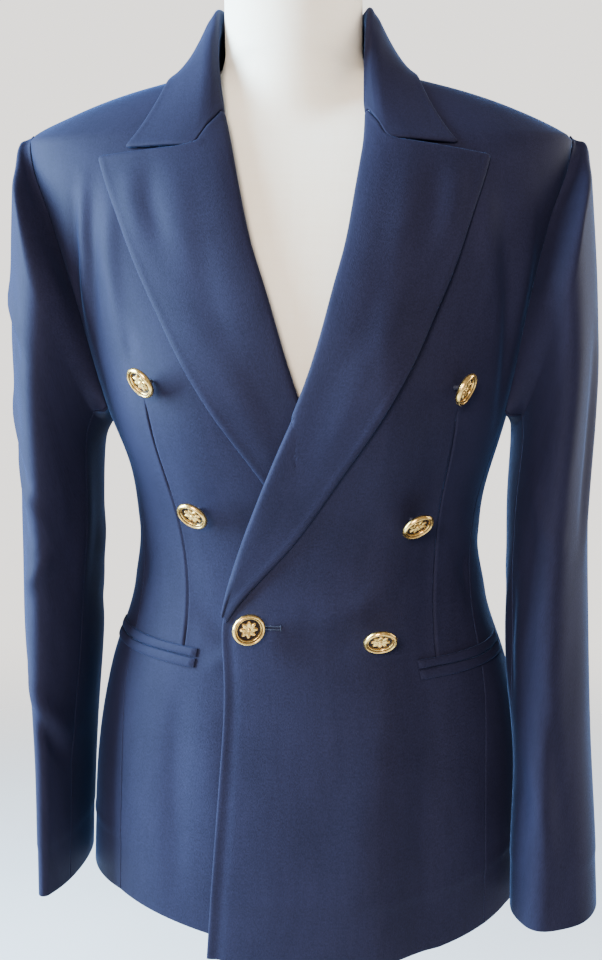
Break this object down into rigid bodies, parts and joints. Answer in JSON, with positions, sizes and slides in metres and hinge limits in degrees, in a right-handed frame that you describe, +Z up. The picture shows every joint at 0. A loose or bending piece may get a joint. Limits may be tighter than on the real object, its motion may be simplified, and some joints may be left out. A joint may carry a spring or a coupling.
{
  "type": "double breasted blazer on dress form",
  "caption": "Fitted double breasted blazer with peak lapels, flapless welt pockets and domed metal buttons, worn on a limbless dress form with a pole and round base.",
  "frame": {"origin": "centre of the round base's underside, on the floor", "axes": "+Z up along the pole, the blazer's front faces -Y, the wearer's left is +X"},
  "size_m": [0.4717, 0.32, 1.5185],
  "materials": {
    "navy_cloth": "fine matt wool crepe, dark navy",
    "gold_metal": "polished pale gold",
    "cream_linen": "cream linen stretched over the form",
    "white_metal": "satin white paint"
  },
  "bodies": {
    "root": {"front_left": "navy_cloth", "front_right": "navy_cloth", "side_left": "navy_cloth", "side_right": "navy_cloth", "back_left": "navy_cloth", "back_right": "navy_cloth", "lapel_left": "navy_cloth", "lapel_right": "navy_cloth", "collar": "navy_cloth", "upper_sleeve_left": "navy_cloth", "upper_sleeve_right": "navy_cloth", "under_sleeve_left": "navy_cloth", "under_sleeve_right": "navy_cloth", "pocket_upper_welt_left": "navy_cloth", "pocket_lower_welt_left": "navy_cloth", "pocket_upper_welt_right": "navy_cloth", "pocket_lower_welt_right": "navy_cloth", "button_top_left": "gold_metal", "button_middle_left": "gold_metal", "button_low_left": "gold_metal", "button_top_right": "gold_metal", "button_middle_right": "gold_metal", "button_low_right": "gold_metal", "form_body": "cream_linen", "neck_cap": "white_metal", "pole": "white_metal", "base": "white_metal"}
  },
  "joints": []
}
